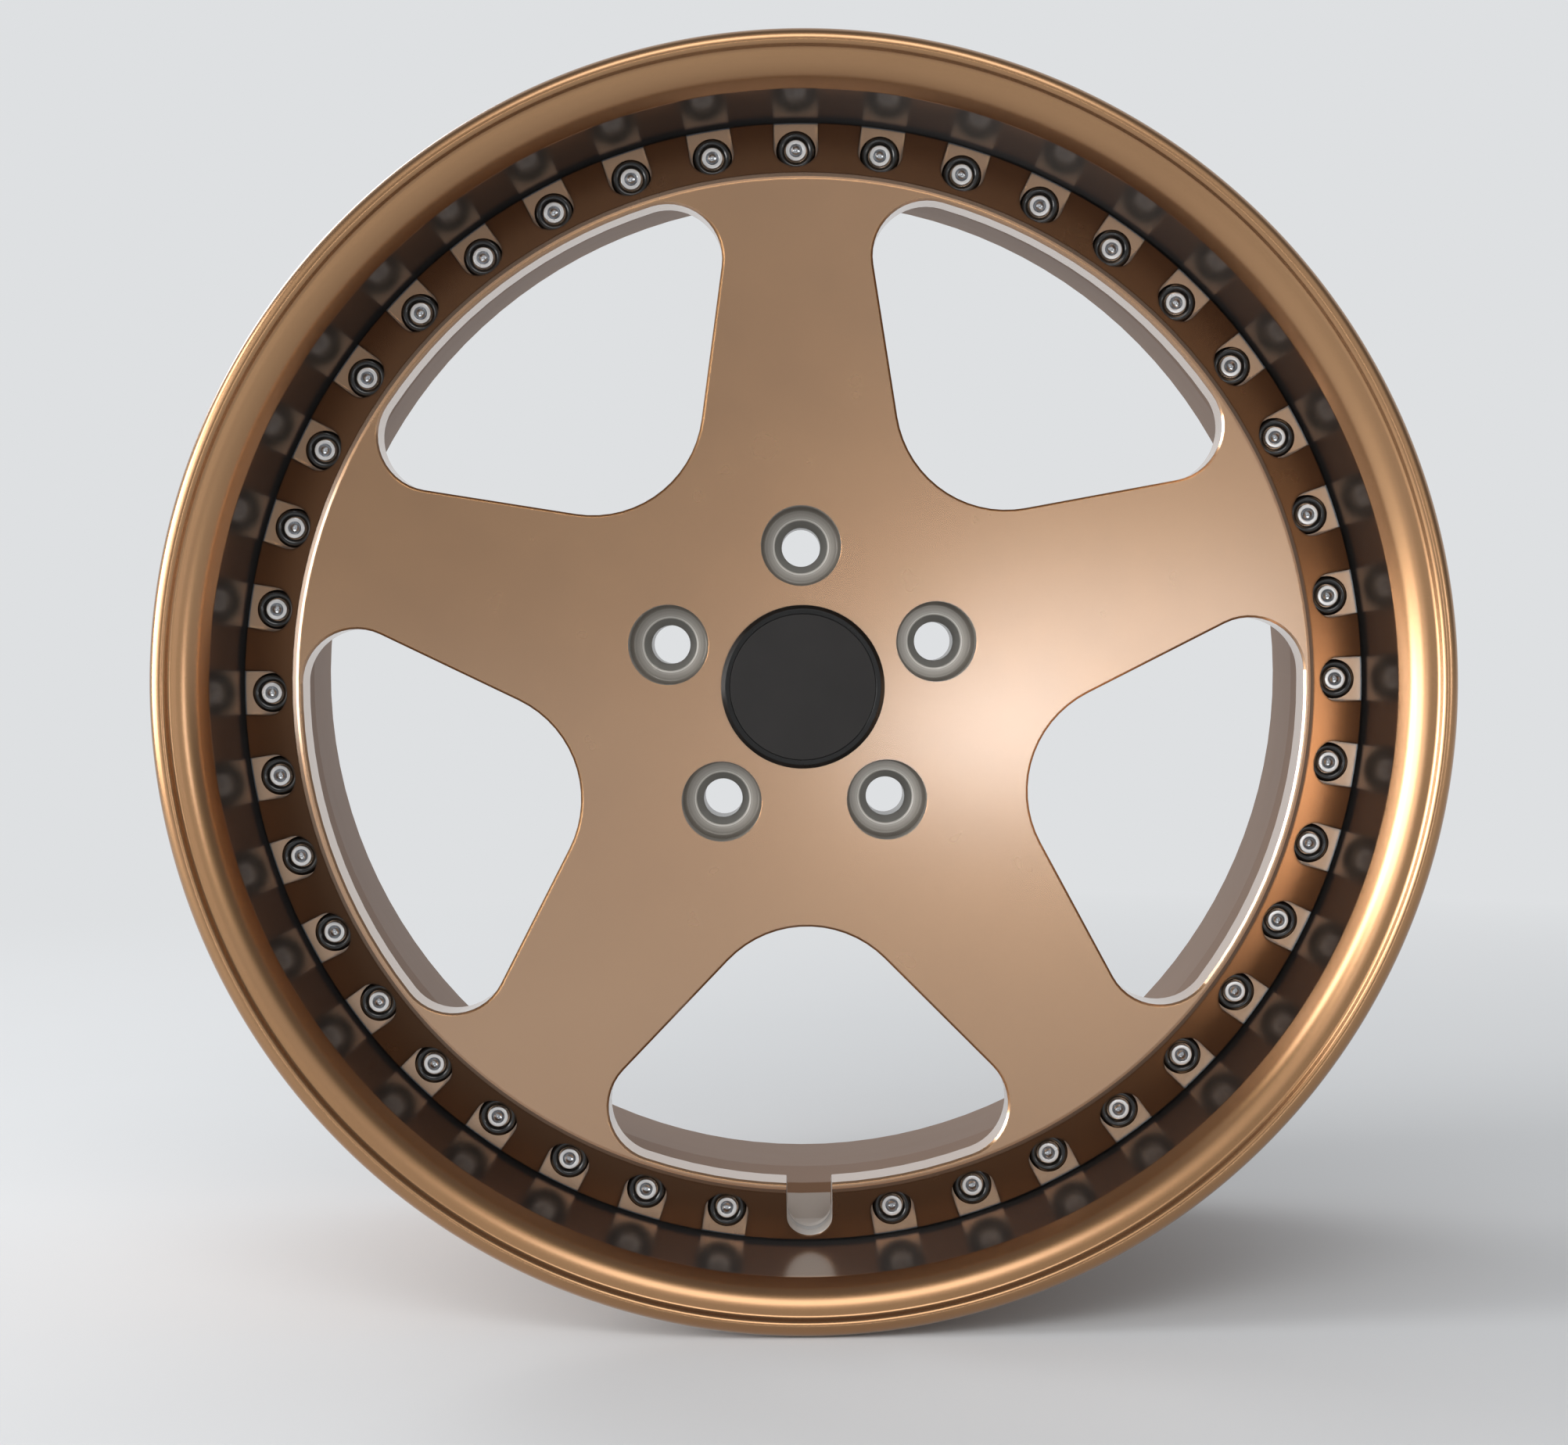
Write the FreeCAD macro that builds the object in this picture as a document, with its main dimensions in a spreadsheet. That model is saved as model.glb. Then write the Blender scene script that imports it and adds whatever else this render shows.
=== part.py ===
"""A three-piece forged road wheel: a five-spoke centre disc bolted to an outer lip and an inner barrel.

The wheel spins about Y. Its face looks along -Y, +Y points towards the car, +Z is up and the origin
is the middle of the rim on the axis. Sections are drawn with the radius along X and the axis along Y.
"""
import FreeCAD, Part
import math
import os

import Sketcher
from FreeCAD import Rotation, Vector

doc = FreeCAD.newDocument("forged_wheel")

# Driving dimensions in millimetres, degrees and counts
SIZES = [
    # Rim: nominal 9.5 by 19 inches
    ("rim_width", 241.3, "between the tyre sides of the two flanges"),
    ("bead_step", 10.4, "bead seat outside the disc's edge, where it meets the flange"),
    ("flange_height", 17.3, "flange above the bead seat"),
    ("flange_width", 12.7, "one flange along the axis"),
    ("flange_root", 5.0, "bevel between bead seat and flange"),
    ("flange_tip", 3.5, "bevel on the tyre side of a flange's edge"),
    ("bead_seat", 22.0, "bead seat along the axis"),
    ("bead_taper", 5.0, "fall of the bead seat, degrees"),
    ("rim_wall", 5.8, "wall of the rim halves"),
    # Outer lip, inward from the flange's edge
    ("nose_round", 4.6, "rounding of the flange's front edge"),
    ("crest_width", 6.2, "flange's front face with its rounding"),
    ("cove_width", 1.2, "cove behind the crest, across"),
    ("cove_depth", 3.0, "cove behind the front"),
    ("band_width", 8.8, "broad sloping band, across"),
    ("band_depth", 4.0, "broad sloping band, along the axis"),
    ("throat_width", 4.2, "throat under the band, across"),
    ("throat_depth", 6.4, "throat, along the axis"),
    ("ledge_width", 1.3, "narrow ledge at the top of the lip's wall"),
    ("ledge_depth", 0.7, "narrow ledge, along the axis"),
    # Joint of the disc and the two rim halves
    ("disc_radius", 230.9, "outer edge of the centre disc"),
    ("disc_clearance", 0.3, "disc in the lip"),
    ("joint_width", 22.0, "bolting flanges, across"),
    ("lip_flange", 5.5, "thickness of the lip's bolting flange"),
    ("barrel_flange", 5.5, "thickness of the barrel's bolting flange"),
    ("seam_groove", 3.0, "groove round the seam of the rim halves"),
    ("seal_gap", 0.15, "sealant to the groove's sides"),
    # Inner barrel
    ("mouth_gap", 1.4, "barrel's mouth inside the disc's edge"),
    ("nut_room", 13.0, "straight mouth behind the bolting flange"),
    ("well_drop", 23.8, "drop centre inside the bead seat"),
    ("well_slope", 16.0, "slope into the drop centre, along the axis"),
    ("well_width", 34.0, "drop centre, along the axis"),
    ("tail_drop", 9.3, "narrowest place of the rear end inside the bead seat"),
    ("tail_depth", 15.0, "rear end to its narrowest place"),
    # Centre disc
    ("face_depth", 30.0, "face behind the front of the lip"),
    ("face_radius", 206.0, "edge of the flat face"),
    ("face_bevel", 1.3, "bevel of the face's edge, to each side"),
    ("slope_depth", 20.0, "sloping band round the face, along the axis"),
    ("edge_bevel", 1.5, "bevel of the disc's rear edge"),
    ("ring_width", 23.5, "back of the disc's bolting ring, across"),
    ("tip_depth", 16.0, "spokes' thickness at the bolting ring"),
    ("wheel_offset", 58.0, "mounting face in front of the rim's middle"),
    ("pad_radius", 76.0, "mounting pad"),
    ("shoulder_radius", 98.0, "where the spokes' backs leave the hub"),
    ("shoulder_depth", 39.0, "spokes' thickness at the hub"),
    ("hub_radius", 36.55, "centre bore over the car's hub"),
    ("cap_bore", 30.2, "bore for the centre cap"),
    ("cap_ledge", 12.0, "depth of the cap's bore"),
    ("hook_room", 3.0, "room behind the cap's hooks"),
    ("relief_step", 1.5, "relief round the cap's hooks, outside the centre bore"),
    # Spokes and windows
    ("spoke_count", 5, "spokes, windows and lug holes"),
    ("window_inner", 97.7, "radius of a window's inner end"),
    ("window_land", 3.0, "face between the windows and the sloping band"),
    ("window_angle", 44.3, "a window's side to its axis, degrees"),
    ("throat_radius", 44.5, "rounding of a window's inner end"),
    ("corner_radius", 22.0, "rounding of a window's outer corners"),
    ("window_edge", 0.9, "bevel of the windows' front edges"),
    ("spoke_web", 12.0, "metal in front of a spoke's back pocket"),
    ("rib_wall", 9.0, "wall beside a spoke's back pocket"),
    ("rib_start", 14.3, "inner end of a back pocket outside the windows' inner ends"),
    ("rib_end", 23.0, "outer end of a back pocket inside the windows' outer edges"),
    ("rib_round", 10.0, "rounding of a back pocket's corners"),
    # Lug holes
    ("lug_circle", 114.3, "diameter of the lug circle"),
    ("lug_socket", 16.3, "radius of a lug socket"),
    ("lug_depth", 19.0, "depth of a lug socket"),
    ("lug_bevel", 1.4, "bevel round a socket's floor"),
    ("lug_seat", 11.2, "radius of the conical seat's mouth"),
    ("seat_angle", 30.0, "conical seat to its axis, degrees"),
    ("lug_hole", 8.0, "radius of the hole for the stud"),
    # Assembly bolts
    ("bolt_places", 40, "places round the bolt circle, one taken by the valve slot"),
    ("bolt_inset", 11.8, "bolt circle inside the disc's edge"),
    ("pocket_width", 18.0, "bolt pocket, across"),
    ("pocket_step", 1.0, "pocket floor under the edge of the sloping band"),
    ("pocket_floor", 7.0, "metal under the bolt heads"),
    ("slot_width", 18.6, "valve slot, across"),
    ("cup_radius", 8.2, "bolt head with its cup"),
    ("head_height", 4.0, "bolt head with its cup"),
    ("nut_flats", 11.0, "nut across flats"),
    ("nut_height", 6.5, "nut"),
    # Centre cap
    ("cap_radius", 33.1, "cap's rim"),
    ("cap_height", 4.2, "cap's rim in front of the face"),
    ("cap_bevel", 1.6, "bevel round the cap's rim"),
    ("cap_web", 2.4, "cap's wall behind the insert"),
    ("cap_fit", 0.2, "cap in its bore, and the insert in the cap"),
    ("cap_skirt", 2.4, "wall of the cap's legs"),
    ("cap_hook", 1.4, "hooks on the ends of the legs, across"),
    ("hook_depth", 4.5, "hooks, along the axis"),
    ("leg_slot", 5.0, "slots between the legs"),
    ("leg_pairs", 3, "slots right across the cap"),
    ("insert_radius", 29.4, "plain disc in the cap"),
    ("insert_depth", 1.2, "thickness of that disc"),
]

# Places worked out from the sizes: distances along the axis, then radii, then the spoke's lean
PLACES = [
    ("front", "-(dim.rim_width / 2 + dim.flange_width)"),
    ("rear", "dim.rim_width / 2 + dim.flange_width"),
    ("face", "front + dim.face_depth"),
    ("slope_end", "face + dim.slope_depth"),
    ("bolt_seat", "slope_end + dim.pocket_step"),
    ("joint", "bolt_seat + dim.pocket_floor"),
    ("seam", "joint + dim.lip_flange"),
    ("nut_seat", "seam + dim.barrel_flange"),
    ("well_start", "nut_seat + dim.nut_room"),
    ("well_front", "well_start + dim.well_slope"),
    ("well_rear", "well_front + dim.well_width"),
    ("mounting", "-dim.wheel_offset"),
    ("cap_stop", "face + dim.cap_ledge"),
    ("cap_front", "face - dim.cap_height"),
    ("hook_start", "cap_stop + dim.cap_fit"),
    ("hook_end", "hook_start + dim.hook_depth"),
    ("relief_end", "hook_end + dim.hook_room"),
    ("bead_radius", "dim.disc_radius + dim.bead_step"),
    ("well_radius", "bead_radius - dim.well_drop"),
    ("tail_radius", "bead_radius - dim.tail_drop"),
    ("window_outer", "dim.face_radius - dim.window_land"),
    ("rib_inner", "dim.window_inner + dim.rib_start"),
    ("rib_outer", "window_outer - dim.rib_end"),
    ("bolt_circle", "dim.disc_radius - dim.bolt_inset"),
    ("outer_radius", "bead_radius + dim.flange_height"),
    ("crest_radius", "outer_radius - dim.crest_width"),
    ("cove_radius", "crest_radius - dim.cove_width"),
    ("band_radius", "cove_radius - dim.band_width"),
    ("throat_edge", "band_radius - dim.throat_width"),
    ("ledge_radius", "throat_edge - dim.ledge_width"),
    ("lip_radius", "dim.disc_radius + dim.disc_clearance"),
    ("joint_radius", "dim.disc_radius - dim.joint_width"),
    ("seam_radius", "lip_radius + dim.rim_wall"),
    ("mouth_radius", "dim.disc_radius - dim.mouth_gap"),
    ("seat_end_radius", "bead_radius - dim.bead_seat * tan(dim.bead_taper * 1deg)"),
    ("slope_width", "dim.disc_radius - dim.face_radius"),
    ("slope_rise", "dim.slope_depth / slope_width"),
    ("bevel_reach", "min(dim.face_bevel; slope_width / 4)"),
    ("lug_radius", "dim.lug_circle / 2"),
    ("bolt_pitch", "360 / dim.bolt_places"),
    ("spoke_lean", "dim.window_angle - 180 / dim.spoke_count"),
    ("throat_middle", "dim.window_inner + dim.throat_radius"),
    ("spoke_root", "throat_middle * sin(dim.window_angle * 1deg) - dim.throat_radius"),
]


def make_sheet(name, rows):
    """A spreadsheet with a name, a value and a note in each row."""
    sheet = doc.addObject("Spreadsheet::Sheet", name)
    for line, (alias, content, note) in enumerate(rows, start=1):
        sheet.set(f"A{line}", alias)
        sheet.set(f"B{line}", content)
        sheet.set(f"C{line}", note)
        sheet.setAlias(f"B{line}", alias)
    doc.recompute()
    return sheet


dim = make_sheet("dim", [(alias, str(size), note) for alias, size, note in SIZES])
place = make_sheet("place", [(alias, "=" + formula, "") for alias, formula in PLACES])


def number(expression):
    """The value of an expression over the sheets."""
    result = dim.evalExpression(expression)
    return float(getattr(result, "Value", result))


def bind(sketch, constraint, expression):
    """Add a constraint to a sketch and tie it to the sheets."""
    index = sketch.addConstraint(constraint)
    sketch.setExpression(f"Constraints[{index}]", expression)


def pin(sketch, geometry, point, x, y):
    """Hold a point of a sketch at two distances from the sketch's origin."""
    for kind, expression, axis in (("DistanceX", x, -2), ("DistanceY", y, -1)):
        if expression == "0":
            sketch.addConstraint(Sketcher.Constraint("PointOnObject", geometry, point, axis))
        else:
            bind(sketch, Sketcher.Constraint(kind, -1, 1, geometry, point, number(expression)), expression)


def arc(centre, radius, first, last):
    """An arc counter-clockwise from one angle to another, in radians."""
    return Part.ArcOfCircle(Part.Circle(centre, Vector(0, 0, 1), radius), first, last)


def bearing(start, end):
    """The direction from one point to another, in radians."""
    return math.atan2(end.y - start.y, end.x - start.x)


def round_corner(sketch, corner, spot, into, out, stop, go):
    """Round one corner of an outline between two runs that stop and go on at its tangent points."""
    radius = number(corner[2])
    normal = (spot - stop).cross(Vector(0, 0, 1)).normalize()
    left_turn = normal.dot(go - spot) < 0
    centre = stop - normal * radius if left_turn else stop + normal * radius
    ends = (stop, go) if left_turn else (go, stop)
    curve = sketch.addGeometry(arc(centre, radius, bearing(centre, ends[0]), bearing(centre, ends[1])))
    first, last = (1, 2) if left_turn else (2, 1)
    sketch.addConstraint(Sketcher.Constraint("Tangent", into, 2, curve, first))
    sketch.addConstraint(Sketcher.Constraint("Tangent", out, 1, curve, last))
    bind(sketch, Sketcher.Constraint("Radius", curve, radius), corner[2])
    point = sketch.addGeometry(Part.Point(spot), True)
    for run in (into, out):
        sketch.addConstraint(Sketcher.Constraint("PointOnObject", point, 1, run))
    pin(sketch, point, 1, corner[0], corner[1])


def draw_outline(sketch, corners):
    """A closed outline of straight runs. A corner is (x, y), or (x, y, radius) where it is rounded."""
    spots = [Vector(number(corner[0]), number(corner[1]), 0) for corner in corners]
    stops, goes = [], []
    for i, corner in enumerate(corners):
        back = spots[i - 1] - spots[i]
        ahead = spots[(i + 1) % len(spots)] - spots[i]
        reach = number(corner[2]) / math.tan(back.getAngle(ahead) / 2) if len(corner) > 2 else 0
        stops.append(spots[i] + back.normalize() * reach)
        goes.append(spots[i] + ahead.normalize() * reach)
    runs = []
    for i, start in enumerate(goes):
        runs.append(sketch.addGeometry(Part.LineSegment(start, stops[(i + 1) % len(stops)])))
    for i, corner in enumerate(corners):
        if len(corner) > 2:
            round_corner(sketch, corner, spots[i], runs[i - 1], runs[i], stops[i], goes[i])
        else:
            sketch.addConstraint(Sketcher.Constraint("Coincident", runs[i - 1], 2, runs[i], 1))
            pin(sketch, runs[i], 1, corner[0], corner[1])


def make_body(label):
    """An empty body that names its own file."""
    body = doc.addObject("PartDesign::Body", label)
    body.Label = label
    body.Placement = FreeCAD.Placement()
    return body


def make_sketch(body, name, role, depth=None, turn=None):
    """A sketch on one of the body's own planes, moved along the wheel's axis and turned about it."""
    sketch = body.newObject("Sketcher::SketchObject", name)
    plane = next(item for item in body.Origin.OriginFeatures if item.Role == role)
    sketch.AttachmentSupport = (plane, "")
    sketch.MapMode = "FlatFace"
    if depth:
        sketch.setExpression("AttachmentOffset.Base.z", f"-({depth})")
    if turn:
        sketch.AttachmentOffset = FreeCAD.Placement(Vector(), Rotation(Vector(0, 0, 1), number(turn)))
        sketch.setExpression("AttachmentOffset.Rotation.Angle", turn)
    return sketch


def turn_section(body, name, corners):
    """Turn a section, drawn as radius and axis, about the wheel's axis."""
    sketch = make_sketch(body, name + "_section", "XY_Plane")
    draw_outline(sketch, corners)
    feature = body.newObject("PartDesign::Revolution", name)
    feature.Profile = sketch
    feature.ReferenceAxis = (sketch, ["V_Axis"])
    feature.Angle = 360
    doc.recompute()
    return feature


def removes(body, feature, before):
    """Stop if a cut took nothing away."""
    doc.recompute()
    if not 0 < body.Shape.Volume < before:
        raise RuntimeError(f"{feature.Name} cuts nothing")
    return feature


def cut(body, name, sketch, way):
    """Cut a sketch's outline right through: towards the face, towards the car, or both."""
    before = body.Shape.Volume
    feature = body.newObject("PartDesign::Pocket", name)
    feature.Profile = sketch
    feature.Type = "ThroughAll"
    feature.Reversed = way == "front"
    if way == "both":
        feature.SideType = "Two sides"
        feature.Type2 = "ThroughAll"
    return removes(body, feature, before)


def repeat(body, name, feature, sketch, count, step):
    """Repeat a feature round the wheel's axis."""
    pattern = body.newObject("PartDesign::PolarPattern", name)
    pattern.Originals = [feature]
    pattern.Axis = (sketch, ["N_Axis"])
    pattern.Mode = "Spacing"
    pattern.setExpression("Offset", step)
    pattern.setExpression("Occurrences", count)
    body.Tip = pattern
    doc.recompute()
    return pattern


SPOKES = "dim.spoke_count"
SPOKE_STEP = "360 / dim.spoke_count"
BOLTS = "dim.bolt_places - 1"
FIRST_BOLT = "180 + place.bolt_pitch"


def draw_window(sketch):
    """A window below the hub: a rounded inner end, two straight sides and an outer edge about the axis."""
    inner, outer = number("dim.throat_radius"), number("place.window_outer")
    corner, slant = number("dim.corner_radius"), number("dim.window_angle * 1deg")
    slant = math.radians(slant)
    middle = -number("place.throat_middle")
    along, across = Vector(math.sin(slant), -math.cos(slant), 0), Vector(math.cos(slant), math.sin(slant), 0)
    start = Vector(0, middle, 0) + across * inner
    base = start - across * corner
    drop = base.dot(along)
    centre = base + along * (math.sqrt(drop**2 + (outer - corner) ** 2 - base.dot(base)) - drop)
    end = centre + across * corner
    touch = centre * (outer / centre.Length)

    def mirrored(point):
        return Vector(-point.x, point.y, 0)

    def swing(hub, first, last):
        return arc(hub, (first - hub).Length, bearing(hub, first), bearing(hub, last))

    hub = Vector(0, 0, 0)
    throat = sketch.addGeometry(swing(Vector(0, middle, 0), start, mirrored(start)))
    right = sketch.addGeometry(Part.LineSegment(start, end))
    right_corner = sketch.addGeometry(swing(centre, touch, end))
    edge = sketch.addGeometry(swing(hub, mirrored(touch), touch))
    left_corner = sketch.addGeometry(swing(mirrored(centre), mirrored(end), mirrored(touch)))
    left = sketch.addGeometry(Part.LineSegment(mirrored(start), mirrored(end)))
    joins = [
        (throat, 1, right, 1),
        (right, 2, right_corner, 2),
        (right_corner, 1, edge, 2),
        (edge, 1, left_corner, 2),
        (left_corner, 1, left, 2),
        (left, 1, throat, 2),
    ]
    for join in joins:
        sketch.addConstraint(Sketcher.Constraint("Tangent", *join))
    sketch.addConstraint(Sketcher.Constraint("Coincident", edge, 3, -1, 1))
    pin(sketch, throat, 3, "0", "-place.throat_middle")
    bind(sketch, Sketcher.Constraint("Radius", throat, inner), "dim.throat_radius")
    bind(sketch, Sketcher.Constraint("Radius", edge, outer), "place.window_outer")
    for bend in (right_corner, left_corner):
        bind(sketch, Sketcher.Constraint("Radius", bend, corner), "dim.corner_radius")
    for side, way in ((right, ""), (left, "-")):
        lean = f"{way}dim.window_angle * 1deg - 90deg"
        bind(sketch, Sketcher.Constraint("Angle", side, math.radians(number(lean))), lean)


def draw_slot(sketch, width, centre, open_end):
    """A slot along the sketch's Y with a round end about one point and a square, open end."""
    half = f"{width} / 2"
    radius, top, bottom = number(half), number(open_end), number(centre)
    outward = top > bottom
    ends = (math.pi, 2 * math.pi) if outward else (0, math.pi)
    bend = sketch.addGeometry(arc(Vector(0, bottom, 0), radius, *ends))
    west, east = (1, 2) if outward else (2, 1)
    left = sketch.addGeometry(Part.LineSegment(Vector(-radius, bottom, 0), Vector(-radius, top, 0)))
    right = sketch.addGeometry(Part.LineSegment(Vector(radius, bottom, 0), Vector(radius, top, 0)))
    lid = sketch.addGeometry(Part.LineSegment(Vector(-radius, top, 0), Vector(radius, top, 0)))
    sketch.addConstraint(Sketcher.Constraint("Tangent", bend, west, left, 1))
    sketch.addConstraint(Sketcher.Constraint("Tangent", bend, east, right, 1))
    sketch.addConstraint(Sketcher.Constraint("Coincident", left, 2, lid, 1))
    sketch.addConstraint(Sketcher.Constraint("Coincident", right, 2, lid, 2))
    sketch.addConstraint(Sketcher.Constraint("Vertical", left))
    sketch.addConstraint(Sketcher.Constraint("Horizontal", lid))
    pin(sketch, bend, 3, "0", centre)
    bind(sketch, Sketcher.Constraint("Radius", bend, radius), half)
    bind(sketch, Sketcher.Constraint("DistanceY", -1, 1, lid, 1, top), open_end)


def cut_valve_slot(body, name, inner_end, back):
    """The slot that takes the place of the lowest bolt, from an inner end out to the bolt circle."""
    sketch = make_sketch(body, name + "_outline", "XZ_Plane", back)
    draw_slot(sketch, "dim.slot_width", "-place.bolt_circle", f"-({inner_end})")
    return cut(body, name, sketch, "front")


def spoke_half(reach):
    """Half the width of a spoke's back pocket at a distance from the axis."""
    lean = "place.spoke_lean * 1deg"
    return f"(place.spoke_root - dim.rib_wall - {reach} * sin({lean})) / cos({lean})"


def make_disc():
    """The forged centre: hub, spokes, windows, bolt pockets, lug holes and milled backs."""
    body = make_body("centre_disc")
    turn_section(body, "disc_blank", [
        ("dim.cap_bore", "place.face"),
        ("dim.face_radius - place.bevel_reach", "place.face"),
        ("dim.face_radius + place.bevel_reach", "place.face + place.bevel_reach * place.slope_rise"),
        ("dim.disc_radius", "place.slope_end"),
        ("dim.disc_radius", "place.joint - dim.edge_bevel"),
        ("dim.disc_radius - dim.edge_bevel", "place.joint"),
        ("dim.disc_radius - dim.ring_width", "place.joint"),
        ("place.window_outer", "place.face + dim.tip_depth"),
        ("dim.shoulder_radius", "place.face + dim.shoulder_depth"),
        ("dim.pad_radius", "place.mounting"),
        ("dim.hub_radius", "place.mounting"),
        ("dim.hub_radius", "place.relief_end"),
        ("dim.hub_radius + dim.relief_step", "place.relief_end"),
        ("dim.hub_radius + dim.relief_step", "place.cap_stop"),
        ("dim.cap_bore", "place.cap_stop"),
    ])

    window_sketch = make_sketch(body, "window_outline", "XZ_Plane")
    draw_window(window_sketch)
    window = cut(body, "window", window_sketch, "both")
    repeat(body, "windows", window, window_sketch, SPOKES, SPOKE_STEP)
    bevel_windows(body)

    pocket_sketch = make_sketch(body, "bolt_pocket_outline", "XZ_Plane", "place.bolt_seat", FIRST_BOLT)
    draw_slot(pocket_sketch, "dim.pocket_width", "place.bolt_circle", "dim.disc_radius + dim.pocket_width")
    pocket = cut(body, "bolt_pocket", pocket_sketch, "front")
    repeat(body, "bolt_pockets", pocket, pocket_sketch, BOLTS, "place.bolt_pitch")
    cut_valve_slot(body, "valve_slot", "place.window_outer - dim.corner_radius", "place.joint")

    lug_sketch = make_sketch(body, "lug_hole_section", "YZ_Plane")
    lug = cut_lug_hole(body, lug_sketch)
    repeat(body, "lug_holes", lug, window_sketch, SPOKES, SPOKE_STEP)

    back_sketch = make_sketch(body, "back_pocket_outline", "XZ_Plane", "place.face + dim.spoke_web")
    inner, outer = spoke_half("place.rib_inner"), spoke_half("place.rib_outer")
    draw_outline(back_sketch, [
        (inner, "place.rib_inner", "dim.rib_round"),
        (outer, "place.rib_outer", "dim.rib_round"),
        (f"-({outer})", "place.rib_outer", "dim.rib_round"),
        (f"-({inner})", "place.rib_inner", "dim.rib_round"),
    ])
    back = cut(body, "back_pocket", back_sketch, "car")
    repeat(body, "back_pockets", back, back_sketch, SPOKES, SPOKE_STEP)
    return body


def bevel_windows(body):
    """Bevel the front edges of the windows."""
    face, inner, outer = number("place.face"), number("dim.window_inner"), number("place.window_outer")
    names = []
    for index, edge in enumerate(body.Shape.Edges, start=1):
        middle = edge.valueAt((edge.FirstParameter + edge.LastParameter) / 2)
        on_face = all(abs(point.y - face) < 0.001 for point in (middle, edge.Vertexes[0].Point))
        if on_face and inner - 0.1 < math.hypot(middle.x, middle.z) < outer + 0.1:
            names.append(f"Edge{index}")
    base = body.Tip
    bevel = body.newObject("PartDesign::Chamfer", "window_edges")
    bevel.Base = (base, names)
    bevel.setExpression("Size", "dim.window_edge")
    body.Tip = bevel
    doc.recompute()


def cut_lug_hole(body, sketch):
    """A lug hole turned about its own axis: a socket, a conical seat and a hole for the stud."""
    before = body.Shape.Volume
    socket_floor = "place.face + dim.lug_depth"
    seat_end = f"{socket_floor} + (dim.lug_seat - dim.lug_hole) / tan(dim.seat_angle * 1deg)"
    clear = "dim.lug_hole"
    draw_outline(sketch, [
        (f"place.face - {clear}", "place.lug_radius"),
        (f"place.face - {clear}", "place.lug_radius + dim.lug_socket"),
        (f"{socket_floor} - dim.lug_bevel", "place.lug_radius + dim.lug_socket"),
        (socket_floor, "place.lug_radius + dim.lug_socket - dim.lug_bevel"),
        (socket_floor, "place.lug_radius + dim.lug_seat"),
        (seat_end, "place.lug_radius + dim.lug_hole"),
        (f"place.mounting + {clear}", "place.lug_radius + dim.lug_hole"),
        (f"place.mounting + {clear}", "place.lug_radius"),
    ])
    middle = number("place.lug_radius")
    axis = sketch.addGeometry(Part.LineSegment(Vector(0, middle, 0), Vector(-middle, middle, 0)), True)
    sketch.addConstraint(Sketcher.Constraint("Horizontal", axis))
    pin(sketch, axis, 1, "0", "place.lug_radius")
    bind(sketch, Sketcher.Constraint("DistanceX", axis, 2, axis, 1, middle), "place.lug_radius")
    groove = body.newObject("PartDesign::Groove", "lug_hole")
    groove.Profile = sketch
    groove.ReferenceAxis = (sketch, ["Axis0"])
    groove.Angle = 360
    return removes(body, groove, before)


def make_lip():
    """The outer rim half: rolled flange, bead seat, deep wall and bolting flange."""
    body = make_body("outer_lip")
    cove = "place.front + dim.cove_depth"
    band = f"{cove} + dim.band_depth"
    throat = f"{band} + dim.throat_depth"
    tyre_side = "place.front + dim.flange_width"
    turn_section(body, "lip_turned", [
        ("place.outer_radius", "place.front", "dim.nose_round"),
        ("place.crest_radius", "place.front"),
        ("place.cove_radius", cove),
        ("place.band_radius", band),
        ("place.throat_edge", throat),
        ("place.ledge_radius", f"{throat} + dim.ledge_depth"),
        ("place.lip_radius", "place.joint"),
        ("place.joint_radius", "place.joint"),
        ("place.joint_radius", "place.seam"),
        ("place.seam_radius - dim.seam_groove", "place.seam"),
        ("place.seam_radius", "place.seam - dim.seam_groove"),
        ("place.seat_end_radius", f"{tyre_side} + dim.bead_seat"),
        ("place.bead_radius", f"{tyre_side} + dim.flange_root"),
        ("place.bead_radius + dim.flange_root", tyre_side),
        ("place.outer_radius - dim.flange_tip", tyre_side),
        ("place.outer_radius", f"{tyre_side} - dim.flange_tip"),
    ])
    cut_valve_slot(body, "lip_notch", "place.joint_radius - dim.slot_width", "place.seam")
    return body


def make_barrel():
    """The inner rim half: bolting flange, drop centre, bead seat and rear flange."""
    body = make_body("inner_barrel")
    tyre_side = "place.rear - dim.flange_width"
    turn_section(body, "barrel_turned", [
        ("place.joint_radius", "place.seam"),
        ("place.joint_radius", "place.nut_seat"),
        ("place.mouth_radius", "place.nut_seat"),
        ("place.mouth_radius", "place.well_start"),
        ("place.well_radius", "place.well_front"),
        ("place.well_radius", "place.well_rear"),
        ("place.tail_radius", "place.rear - dim.tail_depth"),
        ("place.crest_radius", "place.rear"),
        ("place.outer_radius - dim.flange_tip", "place.rear"),
        ("place.outer_radius", "place.rear - dim.flange_tip"),
        ("place.outer_radius", f"{tyre_side} + dim.flange_tip"),
        ("place.outer_radius - dim.flange_tip", tyre_side),
        ("place.bead_radius + dim.flange_root", tyre_side),
        ("place.bead_radius", f"{tyre_side} - dim.flange_root"),
        ("place.seat_end_radius", f"{tyre_side} - dim.bead_seat"),
        ("place.well_radius + dim.rim_wall", "place.well_rear"),
        ("place.well_radius + dim.rim_wall", "place.well_front"),
        ("place.seam_radius", "place.well_start"),
        ("place.seam_radius", "place.seam + dim.seam_groove"),
        ("place.seam_radius - dim.seam_groove", "place.seam"),
    ])
    cut_valve_slot(body, "barrel_notch", "place.joint_radius - dim.slot_width", "place.nut_seat")
    return body


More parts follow.
